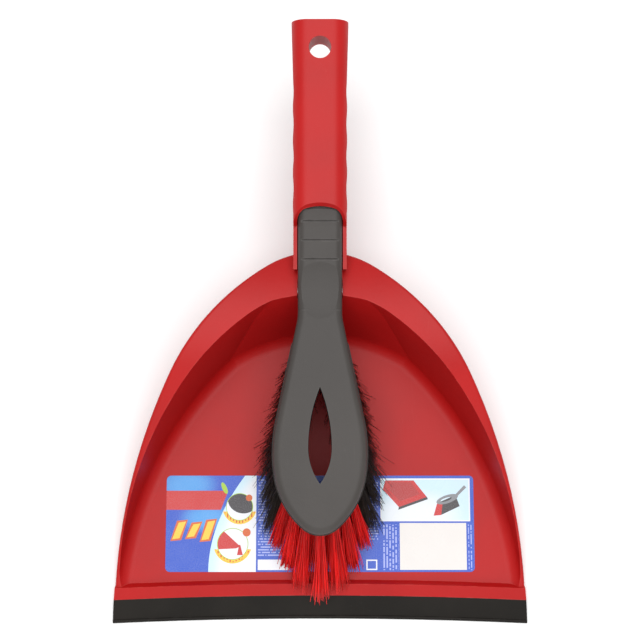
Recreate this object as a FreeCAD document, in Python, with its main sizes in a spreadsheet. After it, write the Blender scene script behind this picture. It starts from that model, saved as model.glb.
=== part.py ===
import FreeCAD, Part
import math
import os

import Sketcher

# Dust pan with a hand brush stored in its handle.
# Frame: X across the pan, +Y towards the end of the handle, +Z up. The origin is
# the centre of the footprint, on the floor that the pan stands on. Millimetres.

SIZES = {
    # whole set
    "overall_length": 312.0,     # lip corners to end of handle
    # plan outline of the pan, an arch of three arcs a side
    "pan_half_width": 112.8,
    "pan_depth": 196.6,          # lip corners to back of rim
    "back_y": "=pan_depth-overall_length/2",     # stations of the brush are given from here
    "flank_setback": 11.4,       # widest point, in front of the lip corners
    "rim_flank_r": "=35385/pan_half_width",
    "rim_shoulder_r": 146.4,
    "rim_crown_r": "=0.0039768*pan_half_width^2",
    # bowl: foot of the side wall and foot of the back ramp
    "bowl_half_width": "=pan_half_width-3.1",
    "bowl_depth": 167.3,         # lip corners to back of the bowl floor
    "bowl_flank_r": "=22458/pan_half_width",
    "bowl_shoulder_r": 178.9,
    "bowl_crown_r": "=0.0043462*pan_half_width^2",
    "wall_draft": 7.5,
    "ramp_half_width": "=pan_half_width+0.2",
    "ramp_setback": 10.0,        # bowl back to ramp foot, on the centre line
    "ramp_flank_r": "=23688/pan_half_width",
    "ramp_shoulder_r": 105.0,
    "ramp_crown_r": "=0.0045584*pan_half_width^2",
    "ramp_draft": 16.5,
    "foot_fillet": 7.0,
    "wall": 2.2,
    # rim, seen from the side
    "knee_from_back": 65.6,      # start of the curved top, from the back of the rim
    "knee_height": 49.0,
    "rim_slope": 21.8,
    "rim_top_r": 80.0,
    "skirt_drop": 7.0,
    "skirt_wall": 1.8,
    "rim_edge_r": 1.5,
    # front edge: ridge, slope and rubber lip, curved about a far centre
    "lip_sagitta": 2.4,
    "lip_depth": 12.6,
    "lip_nose": 0.9,
    "joint_height": 4.0,
    "ridge_height": 3.0,
    "ridge_back": 2.0,
    "ridge_top": 6.3,
    "tongue_depth": 4.5,
    "tongue_thick": 1.2,
    "tongue_lift": 1.0,
    "bead": 0.5,
    # handle
    "socket_y": "=back_y-20.6",            # reference station on the handle axis
    "socket_z": 55.0,
    "handle_rise": 8.0,
    "handle_half_width": 14.7,
    "handle_half_height": 9.0,
    "handle_corner_r": 8.2,
    "grip_half_width": 13.75,
    "grip_pitch": 16.6,
    "grip_ripple": 0.8,
    "grip_waves": 4,
    "grip_start": 104.0,
    "hang_r": 5.7,
    "hang_inset": 14.2,
    "scoop_apex": 42.7,          # along the axis from the reference station
    "arch_proud": 2.5,            # the mouth's arch starts this far outside the handle
    "grip_end_proud": 0.2,
    "gusset_spread": 8.0,         # from the centre line to a gusset's middle
    "gusset_toe": 22.0,           # in front of the rim's back
    "gusset_step": 12.0,
    "gusset_heel": 34.0,          # behind the rim's back
    "gusset_shallow": 6.0,        # under the handle's axis
    "gusset_deep": 16.0,
    "scoop_side": 31.0,           # where the arch springs from the side walls
    "scoop_floor": 2.0,
    "scoop_flare": 0.75,
    "hollow_reach": 88.0,
    # brush
    "bar_half_width": 11.4,
    "bar_half_height": 6.4,
    "bar_corner_r": 3.8,
    "bar_gap": 0.4,
    "bar_reach": 68.0,
    "head_half_width": 23.9,
    "head_widest_y": "=back_y-105.6",
    "head_tip_y": "=back_y-146.7",
    "head_tip_flank_r": 75.4,
    "head_tip_shoulder_r": 43.5,
    "head_tip_crown_r": 13.0,
    "head_side_r": 80.0,
    "head_side_angle": 11.6,
    "neck_r": 24.0,
    "head_top_z": 60.0,
    "head_tip_z": 57.5,
    "split_z": 49.0,
    "block_z": 42.0,
    "block_proud": 0.8,
    "block_end_y": "=back_y-46.6",
    "block_corner_r": 5.0,
    "block_edge": 0.6,
    "eye_half_width": 6.0,
    "eye_widest_y": "=back_y-103.1",
    "eye_back_y": "=back_y-72.5",
    "eye_front_y": "=back_y-121.5",
    "ring_pitch": 9.8,
    "ring_count": 3,
    "ring_last": 39.4,
    "ring_first": 13.1,
    "ring_width": 0.9,
    "ring_depth": 0.7,
    "dimple_depth": 0.9,
    "dimple_curve": 12.0,
    "dimple_half_width": 12.5,
    "dimple_half_length": 11.5,
    # tufts
    "tuft_r": 2.0,
    "tuft_tip_r": 3.0,
    "tuft_gap": 0.1,
    "tuft_root": 6.0,
    "tuft_pitch": 7.8,
    "tuft_edge": 4.9,
    "tuft_row": 6.7,
    "tuft_clear_z": 6.2,
    "tuft_first_y": "=back_y-55.6",
    "red_from_y": "=back_y-124.6",
    "side_lean": 0.3375,
    "row_draw": 0.1,              # each row leans this much less forwards
    "eye_wall": 1.2,              # plastic between the eye and a tuft's hole
    "rear_lean": 0.16,
    "front_lean": 1.3,
    "staple_thick": 0.4,
    "staple_width": 1.5,
    "staple_bite": 0.15,
    # label
    "label_side": 28.3,           # from the label's side to the pan's widest line
    "label_width": "=2*(pan_half_width-label_side)",
    "label_height": 52.0,
    "label_y": "=53.3-overall_length/2",
    "label_thick": 0.2,
    "label_corner_r": 2.5,
}

doc = FreeCAD.newDocument("dustpan_and_brush")
sheet = doc.addObject("Spreadsheet::Sheet", "sizes")
for row, (alias, size) in enumerate(SIZES.items(), start=1):
    sheet.set(f"A{row}", alias)
    sheet.set(f"B{row}", str(size))
    sheet.setAlias(f"B{row}", alias)
doc.recompute()


def read(text):
    """The number that a formula of sheet aliases stands for."""
    found = sheet.evalExpression(bind(text))
    return float(getattr(found, "Value", found))


def bind(text):
    """A formula of bare aliases, as the expression engine wants it."""
    for alias in sorted(SIZES, key=len, reverse=True):
        text = text.replace(f"<{alias}>", f"sizes.{alias}")
    return text


V = FreeCAD.Vector

FRONT_Y = "(-<overall_length>/2)"
BACK_Y = f"({FRONT_Y}+<pan_depth>)"
KNEE_Y = f"({BACK_Y}-<knee_from_back>)"
FLOOR_Z = "<wall>"
LIP_FAR_R = "((<bowl_half_width>^2+<lip_sagitta>^2)/(2*<lip_sagitta>))"

FLAT = FreeCAD.Placement()
SIDE = FreeCAD.Placement(V(), FreeCAD.Rotation(V(1, 1, 1), 120))   # sketch x is Y, y is Z


def along_handle(distance, across=0.0):
    """A placement on the handle's axis: x across, y out of its top, z along it."""
    rise = math.radians(read("<handle_rise>"))
    step = V(0, math.cos(rise), math.sin(rise))
    out = V(0, -math.sin(rise), math.cos(rise))
    base = V(0, read("<socket_y>"), read("<socket_z>")) + step * distance + out * across
    turn = FreeCAD.Matrix(-1, 0, 0, base.x, 0, out.y, step.y, base.y,
                          0, out.z, step.z, base.z, 0, 0, 0, 1)
    return FreeCAD.Placement(turn)


def handle_side():
    """The handle seen from the side: x along its axis, y out of its top."""
    rise = math.radians(read("<handle_rise>"))
    c, s = math.cos(rise), math.sin(rise)
    turn = FreeCAD.Matrix(0, 0, 1, 0, c, -s, 0, read("<socket_y>"),
                          s, c, 0, read("<socket_z>"), 0, 0, 0, 1)
    return FreeCAD.Placement(turn)


def hold(sketch, geo, pos, x, y):
    """Fix a point of a sketch at two formulas."""
    for kind, text in (("DistanceX", x), ("DistanceY", y)):
        at = sketch.addConstraint(Sketcher.Constraint(kind, -1, 1, geo, pos, read(text)))
        sketch.setExpression(f"Constraints[{at}]", bind(text))


def hold_radius(sketch, geo, text):
    at = sketch.addConstraint(Sketcher.Constraint("Radius", geo, read(text)))
    sketch.setExpression(f"Constraints[{at}]", bind(text))


def arc_between(a, b, radius):
    """The short arc from a to b. A positive radius turns left."""
    half = (b - a) * 0.5
    rise = math.sqrt(radius * radius - half.Length ** 2)
    side = V(-half.y, half.x, 0).normalize() * (rise if radius > 0 else -rise)
    centre = a + half + side
    first, last = (a, b) if radius > 0 else (b, a)
    start = math.atan2(first.y - centre.y, first.x - centre.x)
    end = math.atan2(last.y - centre.y, last.x - centre.x)
    return Part.ArcOfCircle(Part.Circle(centre, V(0, 0, 1), abs(radius)), start, end)


def outline(name, placement, corners, arcs=None):
    """A closed sketch. Each corner is a pair of formulas, and arcs gives the signed
    radius of the edges that leave a corner as an arc."""
    arcs = arcs or {}
    sketch = doc.addObject("Sketcher::SketchObject", name)
    points = [V(read(x), read(y), 0) for x, y in corners]
    ends = []
    for i, a in enumerate(points):
        b = points[(i + 1) % len(points)]
        if i in arcs:
            sketch.addGeometry(arc_between(a, b, read(arcs[i])), False)
            ends.append((1, 2) if read(arcs[i]) > 0 else (2, 1))
        else:
            sketch.addGeometry(Part.LineSegment(a, b), False)
            ends.append((1, 2))
    for i in range(len(points)):
        after = (i + 1) % len(points)
        sketch.addConstraint(
            Sketcher.Constraint("Coincident", i, ends[i][1], after, ends[after][0]))
        hold(sketch, i, ends[i][0], *corners[i])
    for i, radius in arcs.items():
        hold_radius(sketch, i, f"abs({radius})")
    sketch.Placement = placement
    return sketch


def bow_joints(width, flank_y, apex_y, radii):
    """Centres and joints of three tangent arcs that run from the side (width, flank_y),
    where they are parallel to Y, to the apex (0, apex_y)."""
    way = 1 if apex_y > flank_y else -1
    flank = V(width - radii[0], flank_y, 0)
    crown = V(0, apex_y - way * radii[2], 0)
    reach = crown - flank
    a, b = radii[0] - radii[1], radii[1] - radii[2]
    near = (a * a - b * b + reach.Length ** 2) / (2 * reach.Length)
    off = math.sqrt(a * a - near * near)
    unit = V(reach).normalize()
    shoulder = flank + unit * near + V(unit.y, -unit.x, 0) * (off * way)
    low = flank + V(shoulder - flank).normalize() * radii[0]
    high = shoulder + V(crown - shoulder).normalize() * radii[1]
    return flank, shoulder, crown, low, high


def bow(name, placement, width, flank_y, start_y, apex_y, radii, grow="0"):
    """A closed arch sketch: flank, shoulder and crown arcs, mirrored about Y, and a
    straight edge at start_y. grow moves the arch outwards and keeps its centres."""
    width = f"({width}+{grow})"
    radii = [f"({r}+{grow})" for r in radii]
    way = 1 if read(apex_y) > read(start_y) else -1
    apex_y = f"({apex_y}+{way}*({grow}))"
    sketch = doc.addObject("Sketcher::SketchObject", name)
    r = [read(text) for text in radii]
    flank, shoulder, crown, low, high = bow_joints(
        read(width), read(flank_y), read(apex_y), r)
    start = V(flank.x + math.sqrt(r[0] ** 2 - (read(start_y) - flank.y) ** 2), read(start_y), 0)
    right = [start, low, high]
    left = [V(-p.x, p.y, 0) for p in reversed(right)]
    stops = right + left
    for i, radius in enumerate([r[0], r[1], r[2], r[1], r[0]]):
        sketch.addGeometry(arc_between(stops[i], stops[i + 1], way * radius), False)
    sketch.addGeometry(Part.LineSegment(stops[5], stops[0]), False)
    first, last = (1, 2) if way > 0 else (2, 1)
    for i in range(4):
        sketch.addConstraint(Sketcher.Constraint("Tangent", i, last, i + 1, first))
    sketch.addConstraint(Sketcher.Constraint("Coincident", 4, last, 5, 1))
    sketch.addConstraint(Sketcher.Constraint("Coincident", 5, 2, 0, first))
    for i, text in enumerate([radii[0], radii[1], radii[2], radii[1], radii[0]]):
        hold_radius(sketch, i, text)
    hold(sketch, 0, 3, f"{width}-{radii[0]}", flank_y)
    hold(sketch, 4, 3, f"{radii[0]}-{width}", flank_y)
    hold(sketch, 2, 3, "0", f"{apex_y}-{way}*{radii[2]}")
    for geo, pos in ((5, 2), (5, 1)):
        at = sketch.addConstraint(
            Sketcher.Constraint("DistanceY", -1, 1, geo, pos, read(start_y)))
        sketch.setExpression(f"Constraints[{at}]", bind(start_y))
    sketch.Placement = placement
    return sketch


def extrude(name, sketch, length, draft="0", both=False, flip=False):
    body = doc.addObject("Part::Extrusion", name)
    body.Base = sketch
    body.DirMode = "Normal"
    body.Solid = True
    body.Symmetric = both
    body.Reversed = flip
    body.setExpression("LengthFwd", bind(length))
    body.setExpression("TaperAngle", bind(draft))
    return body


def revolve_front(name, sketch):
    """Turn a side profile about the far vertical axis in front of the lip."""
    body = doc.addObject("Part::Revolution", name)
    body.Source = sketch
    body.Base = V(0, read(f"{FRONT_Y}+<lip_sagitta>-{LIP_FAR_R}"), 0)
    body.Axis = V(0, 0, 1)
    body.Angle = 6.0
    body.Symmetric = True
    body.Solid = True
    return body


def join(name, *pieces):
    body = doc.addObject("Part::MultiFuse", name)
    body.Shapes = list(pieces)
    body.Refine = True
    return body


def common(name, *pieces):
    body = doc.addObject("Part::MultiCommon", name)
    body.Shapes = list(pieces)
    return body


def cut(name, base, tool):
    body = doc.addObject("Part::Cut", name)
    body.Base = base
    body.Tool = tool
    return body


def fillet(name, base, radius, picked):
    """Round the edges of base that the test picked accepts."""
    doc.recompute()
    body = doc.addObject("Part::Fillet", name)
    body.Base = base
    size = read(radius)
    body.Edges = [(i, size, size) for i, edge in enumerate(base.Shape.Edges, start=1)
                  if picked(edge)]
    return body


def rounded_bar(name, placement, half_width, half_height, corner_r):
    """A rectangle with round corners, centred on the placement."""
    w, h, r = half_width, half_height, corner_r
    corners = [(f"{w}-{r}", f"-{h}"), (w, f"{r}-{h}"), (w, f"{h}-{r}"), (f"{w}-{r}", h),
               (f"{r}-{w}", h), (f"-{w}", f"{h}-{r}"), (f"-{w}", f"{r}-{h}"),
               (f"{r}-{w}", f"-{h}")]
    return outline(name, placement, corners, {0: r, 2: r, 4: r, 6: r})


def box(name, placement, length, width, height):
    body = doc.addObject("Part::Box", name)
    body.setExpression("Length", bind(length))
    body.setExpression("Width", bind(width))
    body.setExpression("Height", bind(height))
    body.Placement = placement
    return body


# --- pan -------------------------------------------------------------------------

PAN_TOP = "(<knee_height>+20)"
RIM_RADII = ["<rim_flank_r>", "<rim_shoulder_r>", "<rim_crown_r>"]
BOWL_RADII = ["<bowl_flank_r>", "<bowl_shoulder_r>", "<bowl_crown_r>"]
RAMP_RADII = ["<ramp_flank_r>", "<ramp_shoulder_r>", "<ramp_crown_r>"]


def rim_profile(name, drop="0"):
    """The space under the rim's top line, seen from the side: a straight rise from the
    ridge, then a round top. drop lowers the line."""
    centre_y = f"({KNEE_Y}+<rim_top_r>*sin(<rim_slope>))"
    centre_z = f"(<knee_height>-<rim_top_r>*cos(<rim_slope>))"
    end_y = f"({BACK_Y}+5)"
    front = f"({FRONT_Y}-5)"
    corners = [
        (front, "-30"),
        (end_y, "-30"),
        (end_y, f"{centre_z}+sqrt(<rim_top_r>^2-({end_y}-{centre_y})^2)-{drop}"),
        (KNEE_Y, f"<knee_height>-{drop}"),
        (front, f"<knee_height>-({KNEE_Y}-{front})*tan(<rim_slope>)-{drop}"),
    ]
    profile = outline(name, SIDE, corners, {2: "<rim_top_r>"})
    return extrude(f"{name}_prism", profile, "300", both=True)


def raised(text):
    return FreeCAD.Placement(V(0, 0, read(text)), FreeCAD.Rotation())


FLANK_Y = f"({FRONT_Y}-<flank_setback>)"
SHELL_FRONT = f"({FRONT_Y}+<lip_sagitta>+<lip_depth>+<lip_nose>+2)"


def rim_plan(name, grow="0"):
    sketch = bow(name, FLAT, "<pan_half_width>", FLANK_Y, SHELL_FRONT, BACK_Y, RIM_RADII, grow)
    return extrude(f"{name}_prism", sketch, PAN_TOP)


def bowl(name, base_z, grow="0", foot_r="0"):
    """The drafted side wall and the steeper back ramp, where both leave room."""
    front = f"({FRONT_Y}-60)"
    wall_sketch = bow(f"{name}_wall_plan", raised(base_z), "<bowl_half_width>", FRONT_Y, front,
                      f"({FRONT_Y}+<bowl_depth>)", BOWL_RADII, grow)
    ramp_sketch = bow(f"{name}_ramp_plan", raised(base_z), "<ramp_half_width>", FRONT_Y, front,
                      f"({FRONT_Y}+<bowl_depth>-<ramp_setback>)", RAMP_RADII, grow)
    wall_side = extrude(f"{name}_wall_side", wall_sketch, PAN_TOP, "<wall_draft>")
    ramp_side = extrude(f"{name}_ramp_side", ramp_sketch, PAN_TOP, "<ramp_draft>")
    if foot_r == "0":
        return common(name, wall_side, ramp_side)
    floor = read(base_z)

    def on_foot(edge):
        """The arched edges of the floor, without the straight one in front."""
        level = all(abs(v.Point.z - floor) < 1e-4 for v in edge.Vertexes)
        return level and edge.BoundBox.YLength > 0.1

    return common(name, fillet(f"{name}_wall_round", wall_side, foot_r, on_foot),
                  fillet(f"{name}_ramp_round", ramp_side, foot_r, on_foot))


# The rim: a thin flange with a short skirt, and the bowl's wall under it.
rim_blank = common("rim_blank", rim_plan("rim_plan"), rim_profile("rim_line"))


def on_rim_edge(edge):
    """The outer top edge of the rim: off the bottom, off the centre and not upright."""
    box = edge.BoundBox
    return box.ZMin > 1.0 and box.YLength > 0.5 and box.XLength > 0.2


rim_round = fillet("rim_round", rim_blank, "<rim_edge_r>", on_rim_edge)
inside = bowl("bowl_hollow", FLOOR_Z, foot_r="<foot_fillet>")
outside = bowl("bowl_skin", "0", "<wall>")
under_flange = common("under_flange", rim_plan("skirt_plan", "-<skirt_wall>"),
                      rim_profile("flange_line", "<wall>"))
under_skirt = common("under_skirt", rim_plan("under_plan", "1"),
                     rim_profile("skirt_line", "<skirt_drop>"))
underside = cut("underside", join("under_all", under_flange, under_skirt), outside)
shell_block = cut("shell_block", rim_round, inside)
shell = cut("shell", shell_block, underside)

# --- front edge --------------------------------------------------------------------

NOSE_Y = f"({FRONT_Y}+<lip_sagitta>)"                 # front of the lip on the centre line
JOINT_Y = f"({NOSE_Y}+<lip_depth>)"                   # red plastic meets rubber
CREST_Y = f"({JOINT_Y}+<ridge_top>)"
RIDGE_FOOT_Y = f"({CREST_Y}+<ridge_back>)"
TONGUE_Z = "<tongue_lift>"

ridge_side = outline("ridge_profile", SIDE, [
    (JOINT_Y, "0"),
    (f"{RIDGE_FOOT_Y}+4", "0"),
    (f"{RIDGE_FOOT_Y}+4", FLOOR_Z),
    (RIDGE_FOOT_Y, FLOOR_Z),
    (CREST_Y, f"{FLOOR_Z}+<ridge_height>"),
    (JOINT_Y, "<joint_height>"),
])
tongue_side = outline("tongue_profile", SIDE, [
    (f"{JOINT_Y}-<tongue_depth>", TONGUE_Z),
    (f"{JOINT_Y}+1", TONGUE_Z),
    (f"{JOINT_Y}+1", f"{TONGUE_Z}+<tongue_thick>"),
    (f"{JOINT_Y}-<tongue_depth>", f"{TONGUE_Z}+<tongue_thick>"),
])
lip_side = outline("lip_profile", SIDE, [
    (JOINT_Y, "0"),
    (JOINT_Y, "<joint_height>"),
    (f"{NOSE_Y}+4*<bead>", "<lip_nose>+<bead>"),
    (f"{NOSE_Y}+3*<bead>", "<lip_nose>+2*<bead>"),
    (f"{NOSE_Y}+2*<bead>", "<lip_nose>+<bead>"),
    (NOSE_Y, "<lip_nose>"),
    (NOSE_Y, "0"),
])
front_plan = bow("front_plan", FLAT, "<pan_half_width>", FLANK_Y, f"({FRONT_Y}-6)", BACK_Y,
                 RIM_RADII)
front_prism = extrude("front_prism", front_plan, "20")
ridge = common("ridge", revolve_front("ridge_turned", ridge_side), front_prism)
tongue_zone = box("tongue_zone", FLAT, "2*(<pan_half_width>-4)", "60", "20")
tongue_zone.Placement = FreeCAD.Placement(
    V(4 - read("<pan_half_width>"), read(FRONT_Y) - 6, 0), FreeCAD.Rotation())
tongue = common("tongue", revolve_front("tongue_turned", tongue_side), tongue_zone)
lip_blank = common("lip_blank", revolve_front("lip_turned", lip_side), front_prism)
rubber_lip = cut("rubber_lip", lip_blank, tongue)

# --- handle -------------------------------------------------------------------------

rise = math.radians(read("<handle_rise>"))
HANDLE_RUN = "((<overall_length>/2-<socket_y>-<handle_half_height>*sin(<handle_rise>))" \
             "/cos(<handle_rise>))"
TUBE_START = 9.0
section = rounded_bar("handle_section", along_handle(TUBE_START), "<handle_half_width>",
                      "<handle_half_height>", "<handle_corner_r>")
tube = extrude("handle_tube", section, f"{HANDLE_RUN}-({TUBE_START})")


def grip_plan():
    """The handle from above: straight sides, finger ripples of equal tangent arcs, then
    a flare to the end."""
    quarter, half = "(<grip_pitch>/4)", "(<grip_ripple>/2)"
    arc_r = f"(({quarter}^2+({half}/2)^2)/{half})"
    waves = int(read("<grip_waves>"))
    stations = [f"(<grip_start>-<grip_pitch>*{waves}+{k}*<grip_pitch>/2)"
                for k in range(2 * waves + 1)]
    side = "<grip_half_width>"
    right = [("-20", side)] + [(y, side) for y in stations]
    right.append((f"{HANDLE_RUN}+5", "(<handle_half_width>+<grip_end_proud>)"))
    left = [(y, f"-{x}") for y, x in reversed(right)]
    arcs = {}
    for k in range(2 * waves):
        arcs[1 + k] = arc_r if k % 2 else f"(-{arc_r})"
        arcs[len(right) + 1 + k] = arc_r if k % 2 == 0 else f"(-{arc_r})"
    return outline("grip_plan", handle_top(), right + left, arcs)


def handle_top():
    """The plane of the handle's axis and X, seen from above: x along the axis."""
    c, s = math.cos(rise), math.sin(rise)
    turn = FreeCAD.Matrix(0, -1, 0, 0, c, 0, -s, read("<socket_y>"),
                          s, 0, c, read("<socket_z>"), 0, 0, 0, 1)
    return FreeCAD.Placement(turn)


grip = extrude("grip_prism", grip_plan(), "80", both=True)
gripped = common("gripped", tube, grip)
shoulder = box("scoop_shoulder", along_handle(-20, read("<scoop_floor>")), "60", "40",
               "<scoop_side>+20")
shoulder.Placement.Base += V(30, 0, 0)


def arch(name, level):
    """The plan of the mouth's arch at a height above the axis: half of it is used."""
    ring = doc.addObject("Part::Ellipse", name)
    grow = f"(({level}-<handle_half_height>)*<scoop_flare>)"
    ring.setExpression("MajorRadius", bind(f"<handle_half_width>+<arch_proud>+{grow}"))
    ring.setExpression("MinorRadius", bind(f"<scoop_apex>-<scoop_side>+{grow}"))
    spot = along_handle(read("<scoop_side>"), read(level))
    ring.Placement = FreeCAD.Placement(spot.Base,
                                       FreeCAD.Rotation(V(1, 0, 0), read("<handle_rise>")))
    return ring


mouth = doc.addObject("Part::Loft", "scoop_mouth")
mouth.Sections = [arch("arch_low", "<scoop_floor>"), arch("arch_high", "(<handle_half_height>+1)")]
mouth.Solid = True
mouth.Ruled = True
scoop = join("scoop", shoulder, mouth)
handle_solid = cut("handle_solid", gripped, scoop)

gusset_side = outline("gusset_profile", SIDE, [
    (f"{BACK_Y}-<gusset_toe>", "<socket_z>-<gusset_shallow>"),
    (f"{BACK_Y}-<skirt_wall>", "<socket_z>-<gusset_deep>"),
    (f"{BACK_Y}+<gusset_heel>", "<socket_z>+1"),
    (f"{BACK_Y}-<gusset_step>", "<socket_z>+1"),
])
gussets = []
for offset in ("-<gusset_spread>-<wall>/2", "<gusset_spread>-<wall>/2"):
    rib = extrude(f"gusset_{len(gussets) + 1}", gusset_side, "<wall>")
    rib.Placement = FreeCAD.Placement(V(read(offset), 0, 0), FreeCAD.Rotation())
    gussets.append(rib)

SOCKET_START = -11.0          # along the axis, just inside the rim
GAP_W = "(<bar_half_width>+<bar_gap>)"
GAP_H = "(<bar_half_height>+<bar_gap>)"
bore = extrude("socket_bore", rounded_bar("bore_section", along_handle(SOCKET_START), GAP_W, GAP_H,
                                          "(<bar_corner_r>+<bar_gap>)"),
               f"<hollow_reach>-({SOCKET_START})")
channel = extrude("socket_channel", outline("channel_section", along_handle(SOCKET_START), [
    (f"-{GAP_W}", "0"), (GAP_W, "0"), (GAP_W, "30"), (f"-{GAP_W}", "30")]),
    f"<scoop_side>-({SOCKET_START})")
hang_base = along_handle(read(HANDLE_RUN) - read("<hang_inset>"), -20)
hang_hole = doc.addObject("Part::Cylinder", "hang_hole")
hang_hole.setExpression("Radius", bind("<hang_r>"))
hang_hole.Height = 40
hang_hole.Placement = FreeCAD.Placement(
    hang_base.Base, FreeCAD.Rotation(V(1, 0, 0), read("<handle_rise>")))

pan_outer = join("pan_outer", shell, ridge, tongue, handle_solid, *gussets)
pan_body = cut("pan_body", pan_outer, join("pan_hollows", bore, channel, hang_hole))

# --- brush ---------------------------------------------------------------------------

TAN = "tan(<handle_rise>)"
COS = "cos(<handle_rise>)"
HALF_UP = f"(<bar_half_height>/{COS})"
AXIS_Z0 = f"(<socket_z>-<socket_y>*{TAN})"             # height of the axis above Y = 0
HEAD_SLOPE = "((<head_tip_z>-<head_top_z>)/<head_tip_y>)"
TIP_RADII = ["<head_tip_flank_r>", "<head_tip_shoulder_r>", "<head_tip_crown_r>"]


def head_plan(name, grow="0"):
    """The brush from above: a round-nosed front half, and sides that draw in to the
    neck and the bar. Returns the two sketches."""
    wide, neck = f"(<head_half_width>+{grow})", f"(<bar_half_width>+{grow})"
    side_r, neck_r = f"(<head_side_r>+{grow})", f"(<neck_r>-{grow})"
    run, draw = (f"({side_r}*{k}(<head_side_angle>))" for k in ("sin", "cos"))
    low_y = f"(<head_widest_y>+{run})"
    low_x = f"({wide}-{side_r}+{draw})"
    bend_x = f"({neck}+{neck_r}*(1-cos(<head_side_angle>)))"
    bend_y = f"({low_y}+({low_x}-{bend_x})/tan(<head_side_angle>))"
    neck_y = f"({bend_y}+{neck_r}*sin(<head_side_angle>))"
    end_y = "(<socket_y>+<bar_reach>+20)"
    right = [(wide, "<head_widest_y>"), (low_x, low_y), (bend_x, bend_y), (neck, neck_y),
             (neck, end_y)]
    left = [(f"-{x}", y) for x, y in reversed(right)]
    back = outline(f"{name}_back", FLAT, right + left,
                   {0: side_r, 2: f"(-{neck_r})", 6: f"(-{neck_r})", 8: side_r})
    front = bow(f"{name}_front", FLAT, "<head_half_width>", "<head_widest_y>",
                "<head_widest_y>", "<head_tip_y>", TIP_RADII, grow)
    return back, front


def head_prism(name, grow="0"):
    back, front = head_plan(name, grow)
    return join(f"{name}_prism", extrude(f"{name}_back_prism", back, "90"),
                extrude(f"{name}_front_prism", front, "90"))


def bar_z(y, sign):
    """The top or bottom of the bar above a station."""
    return f"({AXIS_Z0}+({y})*{TAN}{sign}{HALF_UP})"


def bend(y, z, low_slope, high_slope, radius):
    """The two ends of a tangent arc that rounds a corner of the side profile."""
    reach = f"({radius}*tan(abs(atan({high_slope})-atan({low_slope}))/2))"
    steps = [f"{reach}*cos(atan({slope}))" for slope in (high_slope, low_slope)]
    rises = [f"{reach}*sin(atan({slope}))" for slope in (high_slope, low_slope)]
    return [(f"({y}+{steps[0]})", f"({z}+{rises[0]})"), (f"({y}-{steps[1]})", f"({z}-{rises[1]})")]


PROFILE_R = "90"
NOSE = "(<head_tip_y>-10)"
LIFT_Y = f"((<split_z>-{AXIS_Z0}+{HALF_UP})/{TAN})"     # bar bottom leaves the joint plane
HEAD_Y = f"(({AXIS_Z0}+{HALF_UP}-<head_top_z>)/({HEAD_SLOPE}-{TAN}))"
ROOF_Y = f"(<socket_y>+(<scoop_side>-1)*{COS})"
ROOF_Z = bar_z(ROOF_Y, "+")
BAR_END = f"(<socket_y>+<bar_reach>*{COS})"
CHANNEL_Y = f"(<socket_y>+({SOCKET_START})*{COS}-<bar_half_height>*sin(<handle_rise>))"
brush_side = outline("brush_profile", SIDE, [
    (NOSE, "<split_z>"),
    (LIFT_Y, "<split_z>"),
    (BAR_END, bar_z(BAR_END, "-")),
    (BAR_END, bar_z(BAR_END, "+")),
    *bend(HEAD_Y, bar_z(HEAD_Y, "+"), HEAD_SLOPE, TAN, PROFILE_R),
    (NOSE, f"(<head_top_z>+{HEAD_SLOPE}*{NOSE})"),
], {4: f"(-{PROFILE_R})"})
brush_plan = head_prism("brush_plan")
brush_raw = common("brush_raw", brush_plan, extrude("brush_side", brush_side, "60", both=True))


def on_brush_edge(edge):
    """The long edges all along the top of the brush."""
    box = edge.BoundBox
    if box.YLength < 0.3 or box.ZLength > 20:
        return False
    return box.ZMin > read("<split_z>") + 0.01


brush_round = fillet("brush_round", brush_raw, "<bar_corner_r>", on_brush_edge)
# In the socket the bar keeps inside its own rounded section, and past the mouth inside that
# section carried level, so that it clears the roof of the socket as the brush slides out.
BAR = ["<bar_half_width>", HALF_UP, "<bar_corner_r>"]


def zone(name, start_y, end_y):
    block = box(name, FLAT, "80", f"({end_y})-({start_y})", "60")
    block.Placement = FreeCAD.Placement(V(-40, read(start_y), 20), FreeCAD.Rotation())
    return block


roof_middle = f"({AXIS_Z0}+{ROOF_Y}*{TAN})"
roof_spot = FreeCAD.Placement(FreeCAD.Matrix(-1, 0, 0, 0, 0, 0, 1, read(ROOF_Y),
                                             0, 1, 0, read(roof_middle), 0, 0, 0, 1))
roof_limit = extrude("roof_limit", rounded_bar("roof_section", roof_spot, *BAR), "<bar_reach>")
bar_limit = extrude("bar_limit", rounded_bar("bar_limit_section", along_handle(-30), *BAR),
                    "<bar_reach>+60")
in_socket = common("in_socket", brush_round,
                   join("socket_limit", zone("front_zone", NOSE, f"{CHANNEL_Y}-1"), bar_limit))
brush_solid = common("brush_solid", in_socket,
                     join("roof_limits", zone("mouth_zone", NOSE, ROOF_Y), roof_limit))

eye_w, eye_y = "<eye_half_width>", "<eye_widest_y>"
eye_back_r = f"(({eye_w}^2+(<eye_back_y>-{eye_y})^2)/(2*{eye_w}))"
eye_front_r = f"(({eye_w}^2+({eye_y}-<eye_front_y>)^2)/(2*{eye_w}))"
eye_plan = outline("eye_plan", FLAT, [
    ("0", "<eye_front_y>"), (eye_w, eye_y), ("0", "<eye_back_y>"), (f"-{eye_w}", eye_y)],
    {0: eye_front_r, 1: eye_back_r, 2: eye_back_r, 3: eye_front_r})
eye = extrude("eye_prism", eye_plan, "90")

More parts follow.
